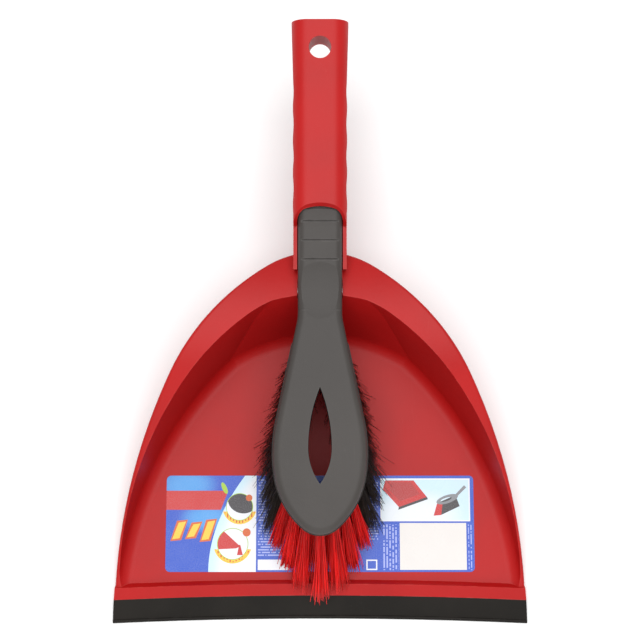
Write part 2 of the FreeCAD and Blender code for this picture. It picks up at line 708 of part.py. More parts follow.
rings = []
stations = [f"<ring_first>+{k}*<ring_pitch>" for k in range(int(read("<ring_count>")))]
for k, station in enumerate(stations + ["<ring_last>"]):
    y = f"(<socket_y>+({station})*{COS})"
    top = min(read(bar_z(y, "+")), read(ROOF_Z))
    spot = FreeCAD.Placement(V(-30, read(f"{y}-<ring_width>/2"), top - read("<ring_depth>")),
                             FreeCAD.Rotation())
    rings.append(box(f"ring_{k + 1}", spot, "60", "<ring_width>", "5"))
dimple = doc.addObject("Part::Ellipsoid", "thumb_dimple")
chord = "sqrt(1-(1-<dimple_depth>/<dimple_curve>)^2)"
dimple.setExpression("Radius1", bind("<dimple_curve>"))
dimple.setExpression("Radius2", bind(f"<dimple_half_width>/{chord}"))
dimple.setExpression("Radius3", bind(f"<dimple_half_length>/{chord}"))
dimple.Placement = FreeCAD.Placement(
    V(0, read("<socket_y>-2"), read(bar_z("<socket_y>-2", "+") + "+<dimple_curve>-<dimple_depth>")),
    FreeCAD.Rotation(V(1, 0, 0), read("<handle_rise>")))
brush_handle = cut("brush_handle", brush_solid, join("brush_cuts", eye, dimple, *rings))

block_zone = box("block_zone", FLAT, "80", f"(<block_end_y>-{NOSE})", "<split_z>-<block_z>")
block_zone.Placement = FreeCAD.Placement(V(-40, read(NOSE), read("<block_z>")),
                                         FreeCAD.Rotation())
block_raw = common("block_raw", head_prism("block_plan", "<block_proud>"), block_zone)
block_round = fillet("block_round", block_raw, "<block_corner_r>",
                     lambda edge: edge.BoundBox.ZLength > 1 and
                     edge.BoundBox.YMin > read("<block_end_y>") - 0.1)
block_soft = fillet("block_soft", block_round, "<block_edge>",
                    lambda edge: edge.BoundBox.ZMax < read("<block_z>") + 0.01)

# --- tufts ---------------------------------------------------------------------------


def row_path(inset):
    """Right half of a row of tufts, from the nose back: points and outward normals of the
    head's outline moved in by inset."""
    doc.recompute()
    faces = [Part.Face(Part.Wire(part.Shape.Edges)) for part in
             (doc.getObject("brush_plan_back"), doc.getObject("brush_plan_front"))]
    rim = faces[0].fuse(faces[1]).removeSplitter().Faces[0].OuterWire.makeOffset2D(-inset)
    first = read("<tuft_first_y>")
    points = [p for p in rim.discretize(Distance=0.25) if p.x > -0.13 and p.y < first]
    points.sort(key=lambda p: p.y)
    return points


def spaced(points, pitch):
    """Points a pitch apart along a dense path."""
    kept, gone = [points[0]], 0.0
    for a, b in zip(points, points[1:]):
        gone += (b - a).Length
        if gone >= pitch:
            kept.append(b)
            gone -= pitch
    return kept


def lean(x, y, row):
    """Which way a tuft points: outwards at the sides, and forwards the nearer it is to
    the nose."""
    first, tip = read("<tuft_first_y>"), read("<head_tip_y>")
    near = min(max((first - y) / (first - tip), 0.0), 1.0)
    forward = read("<rear_lean>") + (read("<front_lean>") - read("<rear_lean>")) * near ** 2
    outward = read("<side_lean>") * x / read("<head_half_width>")
    return V(outward, -forward * (1 - read("<row_draw>") * row), -1)


def tuft_spots():
    """Root and direction of every tuft, nose first."""
    spots = []
    for row in range(3):
        path = row_path(read(f"<tuft_edge>+{row}*<tuft_row>"))
        gap = read("<tuft_pitch>")
        skipped = [p for p in path if (p - path[0]).Length > row % 2 * gap / 2 - 0.01]
        for p in spaced(skipped, gap):
            spot = V(p.x if abs(p.x) > 1 else 0, p.y, read("<block_z>"))
            away = eye_plan.Shape.distToShape(Part.Vertex(V(spot.x, spot.y, 0)))[0]
            inside = abs(spot.x) < read(eye_w) and spot.y > read("<eye_front_y>")
            if away < read("<tuft_r>+<eye_wall>") or (inside and row == 2):
                continue
            for side in ((1, -1) if spot.x else (1,)):
                at = V(side * spot.x, spot.y, spot.z)
                spots.append((at, lean(at.x, at.y, row)))
    return spots


def tuft(name, at, way):
    """A bundle of bristles: a round root in its hole, spreading to the tips, with a slot
    for the staple that holds its fold."""
    tilt = math.acos(-way.z / way.Length)
    drop = read("<block_z>-<tuft_clear_z>") - read("<tuft_tip_r>") * math.sin(tilt)
    spot = FreeCAD.Placement(at, FreeCAD.Rotation(V(0, 0, 1), way))
    root = doc.addObject("Part::Cylinder", f"{name}_root")
    root.setExpression("Radius", bind("<tuft_r>"))
    root.setExpression("Height", bind("<tuft_root>"))
    root.Placement.Base = V(0, 0, -read("<tuft_root>"))
    fan = doc.addObject("Part::Cone", f"{name}_fan")
    fan.setExpression("Radius1", bind("<tuft_r>"))
    fan.setExpression("Radius2", bind("<tuft_tip_r>"))
    fan.Height = drop / math.cos(tilt)
    slot = box(f"{name}_slot", FreeCAD.Placement(
        V(-5, -read("<staple_thick>/2"), -read("<tuft_root>")), FreeCAD.Rotation()),
        "10", "<staple_thick>", "<staple_width>")
    bundle = cut(name, join(f"{name}_bundle", root, fan), slot)
    bundle.Placement = spot
    hole = doc.addObject("Part::Cylinder", f"{name}_hole")
    hole.setExpression("Radius", bind("<tuft_r>+<tuft_gap>"))
    hole.setExpression("Height", bind("<tuft_root>+5"))
    deep = FreeCAD.Placement(V(0, 0, -read("<tuft_root>")), FreeCAD.Rotation())
    hole.Placement = spot.multiply(deep)
    half = read("<tuft_r>+<tuft_gap>+<staple_bite>")
    staple = box(f"{name}_staple", FreeCAD.Placement(), f"2*{half}", "<staple_thick>",
                 "<staple_width>")
    staple.Placement = spot.multiply(FreeCAD.Placement(
        V(-half, -read("<staple_thick>/2"), -read("<tuft_root>")), FreeCAD.Rotation()))
    return bundle, hole, staple


tufts, holes, staples = [], [], []
counts = {"red": 0, "black": 0}
for at, way in tuft_spots():
    colour = "red" if at.y < read("<red_from_y>") else "black"
    counts[colour] += 1
    bundle, hole, staple = tuft(f"{colour}_tuft_{counts[colour]:02d}", at, way)
    tufts.append(bundle)
    holes.append(hole)
    staples.append(staple)
print("tufts", counts)
brush_block = cut("brush_block", block_soft, join("block_cuts", eye, *holes))
tuft_staples = doc.addObject("Part::Compound", "tuft_staples")
tuft_staples.Links = staples

# --- label ---------------------------------------------------------------------------

label_body = doc.addObject("PartDesign::Body", "label")
label_sketch = label_body.newObject("Sketcher::SketchObject", "label_outline")
plane = [f for f in label_body.Origin.OriginFeatures if f.Role == "XY_Plane"][0]
label_sketch.AttachmentSupport = [(plane, "")]
label_sketch.MapMode = "FlatFace"
half_w, half_h = "(<label_width>/2)", "(<label_height>/2)"
label_corners = [("-" + half_w, "-" + half_h), (half_w, "-" + half_h), (half_w, half_h),
                 ("-" + half_w, half_h)]
for i, (x, y) in enumerate(label_corners):
    x2, y2 = label_corners[(i + 1) % 4]
    label_sketch.addGeometry(Part.LineSegment(V(read(x), read(y), 0), V(read(x2), read(y2), 0)))
for i in range(4):
    label_sketch.addConstraint(Sketcher.Constraint("Coincident", i, 2, (i + 1) % 4, 1))
    hold(label_sketch, i, 1, *label_corners[i])
label_pad = label_body.newObject("PartDesign::Pad", "label_pad")
label_pad.Profile = label_sketch
label_pad.setExpression("Length", bind("<label_thick>"))
doc.recompute()
label_fillet = label_body.newObject("PartDesign::Fillet", "label_corners")
upright = [f"Edge{i}" for i, edge in enumerate(label_pad.Shape.Edges, start=1)
           if edge.BoundBox.ZLength > 0.1]
label_fillet.Base = (label_pad, upright)
label_fillet.setExpression("Radius", bind("<label_corner_r>"))
label_body.Tip = label_fillet
label_body.Placement = FreeCAD.Placement(V(0, read("<label_y>"), read(FLOOR_Z)),
                                         FreeCAD.Rotation())

# --- check and write -----------------------------------------------------------------

NODES = [pan_body, rubber_lip, label_body, brush_handle, brush_block, tuft_staples, *tufts]
doc.recompute()
for item in doc.Objects:
    if "Invalid" in item.State or "Error" in item.State:
        raise RuntimeError(f"{item.Name} failed: {item.State}")
os.makedirs("parts", exist_ok=True)
for item in NODES:
    item.Label = item.Name
    shape = item.Shape
    if shape.isNull() or not shape.isValid() or not shape.Solids:
        raise RuntimeError(f"{item.Name} has no sound solid")
    shape.exportStep(f"parts/{item.Name}.step")
    print(item.Name, len(shape.Solids), round(shape.Volume, 1))
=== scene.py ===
# %% [markdown]
# # A dust pan and brush set
#
# A red dustpan carries a small grey hand brush, whose bar is pushed into the pan's hollow handle.
# The hard parts come from the CAD model and keep their exact shape. This lesson gives them their
# finishes, and it replaces the plain bristle bundles with thousands of separate filaments.
# %% Load the frame
import math

import bpy
import numpy as np
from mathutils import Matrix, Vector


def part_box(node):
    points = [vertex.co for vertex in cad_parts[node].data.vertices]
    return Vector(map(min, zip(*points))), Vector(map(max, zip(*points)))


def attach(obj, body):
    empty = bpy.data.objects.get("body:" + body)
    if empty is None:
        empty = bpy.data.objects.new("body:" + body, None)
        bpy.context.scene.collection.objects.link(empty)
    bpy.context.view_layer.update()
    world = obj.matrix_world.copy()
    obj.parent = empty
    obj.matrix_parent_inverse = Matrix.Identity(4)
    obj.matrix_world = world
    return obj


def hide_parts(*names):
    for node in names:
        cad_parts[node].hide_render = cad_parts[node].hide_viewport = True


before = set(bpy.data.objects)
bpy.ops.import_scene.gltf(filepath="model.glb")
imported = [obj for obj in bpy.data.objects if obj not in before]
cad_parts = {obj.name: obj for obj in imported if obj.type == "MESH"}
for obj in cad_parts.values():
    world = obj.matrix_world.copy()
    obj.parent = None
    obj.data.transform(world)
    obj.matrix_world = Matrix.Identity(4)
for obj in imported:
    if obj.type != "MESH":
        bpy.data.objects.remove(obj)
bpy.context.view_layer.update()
MM = 0.001

# %% [markdown]
# ## The studio
#
# The set lies on a pale floor and is seen from almost straight above. One wide, soft lamp over
# it lights the level surfaces and leaves the steep walls darker, which shows the pan's depth.
# The floor belongs to the stage and isn't part of the object.
# %% Camera
scene = bpy.context.scene
scene.view_settings.view_transform = "Standard"
camera = bpy.data.objects.new("camera", bpy.data.cameras.new("camera"))
scene.collection.objects.link(camera)
camera.location = (0, -0.07615, 0.61594)
camera.rotation_euler = (math.radians(8), 0, 0)
camera.data.lens = 61.9
camera.data.sensor_width = 36
scene.camera = camera
print("camera at", tuple(camera.location))


# %% Lamps, world and floor
def soft_lamp(name, place, aim, width, height, power):
    """A white rectangular lamp at place that points at aim."""
    data = bpy.data.lights.new(name, "AREA")
    data.shape = "RECTANGLE"
    data.size, data.size_y = width, height
    data.energy = power
    lamp = bpy.data.objects.new(name, data)
    scene.collection.objects.link(lamp)
    way = np.array(aim, float) - np.array(place, float)
    lamp.location = place
    lamp.rotation_euler = (math.atan2(math.hypot(way[0], way[1]), -way[2]), 0,
                           math.atan2(way[1], way[0]) - math.pi / 2)
    return lamp


soft_lamp("overhead_lamp", (0, 0.1, 1.5), (0, 0, 0), 1.3, 1.3, 18)
soft_lamp("front_lamp", (0, -1.4, 0.9), (0, 0, 0), 1.4, 0.5, 5)
world = bpy.data.worlds.new("room")
scene.world = world
world.use_nodes = True
world.node_tree.nodes["Background"].inputs["Color"].default_value = (1, 1, 1, 1)
world.node_tree.nodes["Background"].inputs["Strength"].default_value = 0.60
print("lamps", [lamp.name for lamp in bpy.data.lights])


# %% [markdown]
# ## Finishes as node graphs
#
# A finish is a small graph of shader nodes. It could be wired by hand in the Shader Editor. Here
# a few helpers keep the wiring short: they add a node, a sum, a mix of two colours, a change of
# range, or noise. Every pattern reads Object coordinates, which are metres in the object's own
# frame, so the grain has a real size.
# %% Node helpers
def add(tree, kind, sockets=None, **settings):
    """Adds a node. sockets holds numbers, colours or other nodes' outputs."""
    made = tree.nodes.new(kind)
    for key, value in settings.items():
        setattr(made, key, value)
    for key, value in (sockets or {}).items():
        if isinstance(value, bpy.types.NodeSocket):
            tree.links.new(value, made.inputs[key])
        else:
            made.inputs[key].default_value = value
    return made


def calc(tree, operation, *values):
    """One Math node, such as calc(tree, "ADD", a, 2.0). Returns its output."""
    made = add(tree, "ShaderNodeMath", operation=operation)
    for spot, value in enumerate(values):
        if isinstance(value, bpy.types.NodeSocket):
            tree.links.new(value, made.inputs[spot])
        else:
            made.inputs[spot].default_value = value
    return made.outputs[0]


def blend(tree, amount, low, high):
    """A colour between low and high."""
    made = add(tree, "ShaderNodeMix", data_type="RGBA")
    for spot, value in ((0, amount), (6, low), (7, high)):
        if isinstance(value, bpy.types.NodeSocket):
            tree.links.new(value, made.inputs[spot])
        else:
            made.inputs[spot].default_value = value
    return made.outputs[2]


def span(tree, value, low, high, out_low=0.0, out_high=1.0):
    """Maps low..high smoothly to out_low..out_high."""
    made = add(tree, "ShaderNodeMapRange", {"Value": value, "From Min": low, "From Max": high,
               "To Min": out_low, "To Max": out_high}, interpolation_type="SMOOTHSTEP")
    return made.outputs["Result"]


def finish(name):
    """A new material. Returns it, its tree, its shader and the Object coordinates."""
    material = bpy.data.materials.new(name)
    material.use_nodes = True
    tree = material.node_tree
    tree.nodes.clear()
    out = add(tree, "ShaderNodeOutputMaterial")
    shader = add(tree, "ShaderNodeBsdfPrincipled")
    tree.links.new(shader.outputs["BSDF"], out.inputs["Surface"])
    return material, tree, shader, add(tree, "ShaderNodeTexCoord").outputs["Object"]


def noise(tree, place, size, detail=2.0, roughness=0.5):
    """Soft noise whose blotches are about size metres across."""
    return add(tree, "ShaderNodeTexNoise", {"Vector": place, "Scale": 1 / size,
               "Detail": detail, "Roughness": roughness}).outputs["Fac"]


def set_finish(obj, material):
    """Gives every slot of a piece one finish."""
    obj.data.materials.clear()
    obj.data.materials.append(material)


print("helpers ready")


# %% [markdown]
# ## Moulded plastic
#
# Injection-moulded plastic isn't one flat colour. The pigment clouds a little where the melt
# flowed, the skin carries the fine spark-erosion grain of the steel mould, and handling leaves
# long faint scratches. Edges that rub turn slightly paler. The Bevel node finds those edges:
# where its softened normal leaves the true one, the surface turns sharply.
# %% Plastic
def scratches(tree, place, spread, turn, thin):
    """Long hairlines: noise stretched along one direction and cut to its thinnest ridge."""
    mapped = add(tree, "ShaderNodeMapping", {"Vector": place, "Rotation": (0, 0, turn),
                 "Scale": (1 / spread, 0.03 / spread, 1 / spread)}).outputs["Vector"]
    field = add(tree, "ShaderNodeTexNoise", {"Vector": mapped, "Scale": 1.0, "Detail": 2.0})
    ridge = calc(tree, "ABSOLUTE", calc(tree, "SUBTRACT", field.outputs["Fac"], 0.5))
    return span(tree, ridge, 0.0, thin, 1.0, 0.0)


def plastic(name, colour, worn, gloss, grain, shine, cloud=0.12, wear=0.6):
    """Moulded plastic. gloss is its roughness, grain the height of its skin in metres, and
    shine how much its surface reflects."""
    material, tree, shader, place = finish(name)
    clouds = noise(tree, place, 0.045, 4.0, 0.55)
    flecks = noise(tree, place, 0.0011, 2.0, 0.6)
    dark = tuple(channel * (1 - cloud) for channel in colour) + (1,)
    light = tuple(min(channel * (1 + cloud), 1) for channel in colour) + (1,)
    body = blend(tree, span(tree, clouds, 0.3, 0.7), dark, light)
    body = blend(tree, span(tree, flecks, 0.62, 0.85, 0.0, 0.14), body, worn + (1,))
    soft = add(tree, "ShaderNodeBevel", {"Radius": 0.0009}, samples=6).outputs["Normal"]
    true = add(tree, "ShaderNodeNewGeometry").outputs["Normal"]
    facing = add(tree, "ShaderNodeVectorMath", {0: soft, 1: true}, operation="DOT_PRODUCT")
    edge = span(tree, facing.outputs["Value"], 0.985, 0.90)
    rubbed = calc(tree, "MULTIPLY", edge, span(tree, noise(tree, place, 0.006, 3.0), 0.35, 0.7))
    body = blend(tree, calc(tree, "MULTIPLY", rubbed, wear), body, worn + (1,))
    lines = calc(tree, "MAXIMUM", scratches(tree, place, 0.004, 0.5, 0.006),
                 scratches(tree, place, 0.005, -0.9, 0.005))
    lines = calc(tree, "MULTIPLY", lines, span(tree, noise(tree, place, 0.02), 0.45, 0.7))
    tree.links.new(blend(tree, calc(tree, "MULTIPLY", lines, 0.10), body, worn + (1,)),
                   shader.inputs["Base Color"])
    dull = calc(tree, "ADD", gloss, calc(tree, "MULTIPLY", clouds, 0.08))
    dull = calc(tree, "ADD", dull, calc(tree, "MULTIPLY", rubbed, 0.12))
    tree.links.new(dull, shader.inputs["Roughness"])
    skin = calc(tree, "ADD", noise(tree, place, 0.00055, 3.0, 0.6),
                calc(tree, "MULTIPLY", noise(tree, place, 0.004, 2.0), 1.6))
    skin = calc(tree, "SUBTRACT", skin, calc(tree, "MULTIPLY", lines, 0.3))
    bump = add(tree, "ShaderNodeBump", {"Height": skin, "Distance": grain, "Strength": 1.0})
    tree.links.new(bump.outputs["Normal"], shader.inputs["Normal"])
    shader.inputs["IOR"].default_value = 1.49
    shader.inputs["Specular IOR Level"].default_value = shine
    return material


red_plastic = plastic("red_plastic", (0.42, 0.007, 0.007), (0.56, 0.07, 0.06), 0.40, 0.00004,
                      shine=0.26, cloud=0.06)
grey_plastic = plastic("grey_plastic", (0.058, 0.052, 0.048), (0.13, 0.12, 0.115), 0.42, 0.00006,
                       shine=0.24, cloud=0.08)
block_plastic = plastic("block_plastic", (0.038, 0.034, 0.032), (0.10, 0.09, 0.085), 0.5,
                        0.00008, shine=0.2)
lip_rubber = plastic("lip_rubber", (0.014, 0.012, 0.010), (0.05, 0.045, 0.04), 0.62, 0.00009,
                     shine=0.16, cloud=0.2, wear=0.35)
set_finish(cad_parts["pan_body"], red_plastic)
set_finish(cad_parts["brush_handle"], grey_plastic)
set_finish(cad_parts["brush_block"], block_plastic)
set_finish(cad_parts["rubber_lip"], lip_rubber)
print("finishes", [material.name for material in bpy.data.materials])

# %% [markdown]
# ## Staples
#
# A bright drawn-steel staple pins each folded tuft in its hole. Hardly any of it shows, so a
# metal with fine noise in its colour and its roughness is enough.
# %% Steel staples
staple_steel, tree, shader, place = finish("staple_steel")
drawn = noise(tree, place, 0.0004, 3.0)
tree.links.new(blend(tree, drawn, (0.35, 0.34, 0.32, 1), (0.62, 0.61, 0.58, 1)),
               shader.inputs["Base Color"])
tree.links.new(span(tree, drawn, 0.2, 0.8, 0.25, 0.45), shader.inputs["Roughness"])
shader.inputs["Metallic"].default_value = 1.0
set_finish(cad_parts["tuft_staples"], staple_steel)
print("staple nodes", len(tree.nodes))

# %% [markdown]
# ## The printed label
#
# The film on the pan's floor is a glossy print: a blue field, a red band, a pale panel with two
# round pictures, a picture of the set at work and a blank field for a price. It holds no
# words: where small print would be, there are rows of plain dashes. The print is drawn by the
# shader itself. Each shape is a test on two coordinates in millimetres, which gives 1 inside it
# and 0 outside, and each colour is laid over the ones before it, as in screen printing.
# %% Shapes to print
label_finish, tree, shader, place = finish("label_print")
low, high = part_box("label")
middle = [(a + b) / 2 for a, b in zip(low, high)]
parts = add(tree, "ShaderNodeSeparateXYZ", {"Vector": place})
ACROSS = calc(tree, "MULTIPLY", calc(tree, "SUBTRACT", parts.outputs["X"], middle[0]), 1000.0)
UP = calc(tree, "MULTIPLY", calc(tree, "SUBTRACT", parts.outputs["Y"], middle[1]), 1000.0)
WIDTH, HEIGHT = (high[0] - low[0]) * 1000, (high[1] - low[1]) * 1000


def both(*masks):
    """Inside every one of the masks."""
    total = masks[0]
    for mask in masks[1:]:
        total = calc(tree, "MULTIPLY", total, mask)
    return total


def left_of(a, b):
    """The side of the line from a to b that lies to its left: the sign of a cross product."""
    dx, dy = b[0] - a[0], b[1] - a[1]
    side = calc(tree, "MULTIPLY_ADD", UP, dx, dy * a[0] - dx * a[1])
    return calc(tree, "GREATER_THAN", calc(tree, "MULTIPLY_ADD", ACROSS, -dy, side), 0.0)


def polygon(*corners):
    """A convex shape, its corners listed anticlockwise."""
    return both(*(left_of(a, b) for a, b in zip(corners, corners[1:] + corners[:1])))


def block(x0, y0, x1, y1):
    """An upright rectangle between two opposite corners."""
    return polygon((x0, y0), (x1, y0), (x1, y1), (x0, y1))


def oval(x, y, wide, tall, turn=0.0):
    """An ellipse, turned by an angle in degrees."""
    c, s = math.cos(math.radians(turn)), math.sin(math.radians(turn))
    u = calc(tree, "MULTIPLY_ADD", ACROSS, c / wide, -(x * c + y * s) / wide)
    u = calc(tree, "MULTIPLY_ADD", UP, s / wide, u)
    v = calc(tree, "MULTIPLY_ADD", ACROSS, -s / tall, (x * s - y * c) / tall)
    v = calc(tree, "MULTIPLY_ADD", UP, c / tall, v)
    reach = calc(tree, "ADD", calc(tree, "POWER", v, 2.0), calc(tree, "POWER", u, 2.0))
    return calc(tree, "LESS_THAN", reach, 1.0)


def without(mask, other):
    """Inside mask but outside other."""
    return calc(tree, "SUBTRACT", mask, both(mask, other))


def dashes(along, across, pitch, dash, share):
    """Rows of dashes: a row is inked where the fraction of its number is small, and a cell of
    the row is inked where its random number is under share."""
    row = calc(tree, "DIVIDE", across, pitch)
    cell = calc(tree, "FLOOR", calc(tree, "DIVIDE", along, dash))
    spot = add(tree, "ShaderNodeCombineXYZ", {"X": cell, "Y": calc(tree, "FLOOR", row)})
    chance = add(tree, "ShaderNodeTexWhiteNoise", {"Vector": spot.outputs[0]},
                 noise_dimensions="2D").outputs["Value"]
    stroke = calc(tree, "LESS_THAN", calc(tree, "FRACT", row), 0.5)
    return both(stroke, calc(tree, "LESS_THAN", chance, share))


print("label", round(WIDTH, 1), "by", round(HEIGHT, 1), "mm")

# %% Inks
BLUE, SKY, ICE = (0.030, 0.092, 0.52, 1), (0.09, 0.36, 0.76, 1), (0.56, 0.76, 0.86, 1)
WHITE, CREAM, RED = (0.78, 0.80, 0.84, 1), (0.74, 0.715, 0.69, 1), (0.54, 0.025, 0.025, 1)
YELLOW, ORANGE, GREEN = (0.85, 0.55, 0.05, 1), (0.62, 0.12, 0.02, 1), (0.35, 0.55, 0.04, 1)
DARK, GREY, SMALL = (0.045, 0.04, 0.045, 1), (0.22, 0.23, 0.25, 1), (0.36, 0.42, 0.80, 1)
left, foot = -WIDTH / 2, -HEIGHT / 2
print("label starts at", round(left, 1), round(foot, 1), "mm")


# %% Field, band and small print
def glow(x, y, size):
    """A soft spot of light, strongest at its middle."""
    u = calc(tree, "POWER", calc(tree, "DIVIDE", calc(tree, "SUBTRACT", ACROSS, x), size), 2.0)
    v = calc(tree, "POWER", calc(tree, "DIVIDE", calc(tree, "SUBTRACT", UP, y), size * 0.55), 2.0)
    return span(tree, calc(tree, "ADD", u, v), 0.0, 1.0, 0.9, 0.0)


ink = blend(tree, glow(-74, 21, 20), BLUE, SKY)
ink = blend(tree, glow(-62, 3, 17), ink, SKY)
rows = dashes(ACROSS, UP, 1.45, 0.65, 0.7)
columns = dashes(UP, ACROSS, 1.65, 0.7, 0.7)
layers = [
    (polygon((left, 7.4), (-54.5, 7.4), (-50.5, 17.8), (left, 17.8)), RED),
    (both(rows, block(-34, -18, -21, 24)), SMALL),
    (both(rows, block(25.5, -9, 32, 24)), SMALL),
    (both(columns, block(34, foot + 1, 43, -0.5)), SMALL),
    (both(columns, block(81.2, foot + 1, 83.1, -0.5)), SMALL),
    (block(-34, -25, -16.5, -19.4), WHITE),
    (without(block(25.3, -25, 31.3, -19.4), block(26, -24.3, 30.6, -20.1)), WHITE),
    (block(43.7, -24.9, 80.2, 0.3), CREAM),
]
print("layers", len(layers))

# %% Slanted bars and pale panel
for shift, length in ((-79, 11), (-71, 9), (-63, 12)):
    for grow, tone in ((1.0, ORANGE), (0.0, YELLOW)):
        bar = polygon((shift - 2 - grow, -3 - length / 2 - grow),
                      (shift + 2 + grow, -3 - length / 2 - grow + 0.6),
                      (shift + 5.5 + grow, -5 + length / 2 + grow + 0.6),
                      (shift + 1.5 - grow, -5 + length / 2 + grow))
        layers.append((bar, tone))
curve = calc(tree, "MULTIPLY_ADD", calc(tree, "POWER", calc(tree, "ADD", UP, 26.0), 2.0),
             0.0073, -61.0)
inward = calc(tree, "SUBTRACT", ACROSS, curve)
panel = both(calc(tree, "GREATER_THAN", inward, 0.0), calc(tree, "LESS_THAN", ACROSS, -35.0))
layers.append((panel, blend(tree, span(tree, inward, 0.5, 9.0), ICE, WHITE)))
layers.append((oval(-52.6, 19.2, 1.3, 3.4, 25), GREEN))
print("layers", len(layers))

# %% Round pictures
for x, y, r in ((-44.2, 9.0, 7.1), (-47.8, -11.0, 8.2)):
    lower = calc(tree, "LESS_THAN", UP, y - 0.35 * r)
    layers.append((both(oval(x, y, r + 2.3, r + 2.3), lower), YELLOW))
    layers.append((both(oval(x, y, r + 1.7, r + 1.7), lower, columns), ORANGE))
    layers.append((oval(x, y, r + 0.35, r + 0.35), GREEN))
    layers.append((oval(x, y, r, r), WHITE))
layers += [
    (both(oval(-44.2, 9.0, 7.1, 7.1), oval(-42.5, 12.5, 8.2, 7.0, -12)), DARK),
    (both(oval(-47.8, -11, 8.2, 8.2),
          polygon((-58, -14), (-46, -13.4), (-43.5, -12.4), (-54, -3))), RED),
    (polygon((-45.4, -17), (-42.2, -17), (-43.6, -11.5), (-44.3, -11.5)), RED),
    (oval(-39.0, 13.9, 1.8, 1.8), ORANGE),
    (oval(-40.2, -4.8, 2.2, 2.2), ORANGE),
]
print("layers", len(layers))

# %% Picture of the set
layers += [
    (block(33.2, 1.2, 82.5, 24.5), WHITE),
    (block(33.9, 1.9, 81.8, 23.8), blend(tree, glow(52, 4, 30), ICE, WHITE)),
    (polygon((43.0, 7.4), (59.4, 13.2), (58.8, 14.6), (43.4, 9.2)), DARK),
    (both(polygon((43.4, 8.9), (58.8, 14.4), (51.6, 23.4), (36.0, 23.4), (34.6, 18.5)),
          block(34, 2, 60, 23.4)), RED),
    (polygon((44, 12), (55, 16), (50, 22.4), (39, 22.4), (38.4, 18)), (0.42, 0.03, 0.03, 1)),
    (polygon((66.5, 4.6), (76.8, 9.4), (74.6, 15.4), (64.8, 11.2)), DARK),
    (polygon((62.4, 4.2), (66.6, 4.6), (67.4, 10.6), (64.4, 11.0)), RED),
    (polygon((73.0, 14.2), (74.6, 13.8), (80.6, 19.6), (79.4, 20.8)), GREY),
    (without(oval(70.0, 13.2, 6.2, 2.2, 18), oval(69.4, 13.0, 3.2, 0.9, 18)), GREY),
]
print("layers", len(layers))

# %% Lay the inks over each other
for mask, tone in layers:
    ink = blend(tree, mask, ink, tone)
mottle = noise(tree, place, 0.0006, 2.0)
ink = blend(tree, span(tree, mottle, 0.35, 0.75, 0.0, 0.07), ink, WHITE)
tree.links.new(ink, shader.inputs["Base Color"])
tree.links.new(span(tree, noise(tree, place, 0.01), 0.3, 0.7, 0.24, 0.34),
               shader.inputs["Roughness"])
ripple = add(tree, "ShaderNodeBump", {"Height": noise(tree, place, 0.012, 2.0), "Distance": 0.00006,
             "Strength": 1.0})
tree.links.new(ripple.outputs["Normal"], shader.inputs["Normal"])
shader.inputs["Specular IOR Level"].default_value = 0.3
set_finish(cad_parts["label"], label_finish)
print("label nodes", len(tree.nodes))

# %% [markdown]
# ## Bristles
#
# A brush tuft is a bundle of plastic filaments, folded in the middle and pinned in its hole.
# The CAD model has one plain cone for each. Here each cone is replaced by its filaments. They
# leave the hole together, bow a little and spread to ragged tips, and a few stray from the
# bundle. All are thin three-sided tubes, worked out in three groups: the red ones, and the
# black ones left and right, so that no mesh grows too heavy.
# %% Where the tufts are
END_SLICE = 0.2 * MM          # how much of a bundle counts as its end


def tuft_axis(node):
    """The middles of a bundle's two ends: the vertices furthest along its longest direction."""
    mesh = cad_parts[node].data
    points = np.empty(len(mesh.vertices) * 3)
    mesh.vertices.foreach_get("co", points)
    points = np.unique(points.reshape(-1, 3).round(7), axis=0)
    centred = points - points.mean(0)
    along = centred @ np.linalg.svd(centred, full_matrices=False)[2][0]
    ends = []
    for end in (along.min(), along.max()):
        cap = points[np.abs(along - end) < END_SLICE]
        ends.append((cap.min(0) + cap.max(0)) / 2)
    ends.sort(key=lambda p: -p[2])
    return ends


tufts = {name: tuft_axis(name) for name in sorted(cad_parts) if "_tuft_" in name}
print("tufts", len(tufts))


# %% [markdown]
# ## From curves to tubes
#
# Each filament could be a curve object with a bevel, but thousands of objects are slow. Instead
# one array holds every filament's points, and one mesh holds them all. Three sides are enough
# for something less than half a millimetre thick.
# %% Tubes
def unit(vectors):
    """Vectors of length 1 that point the same way."""
    return vectors / np.linalg.norm(vectors, axis=-1, keepdims=True)


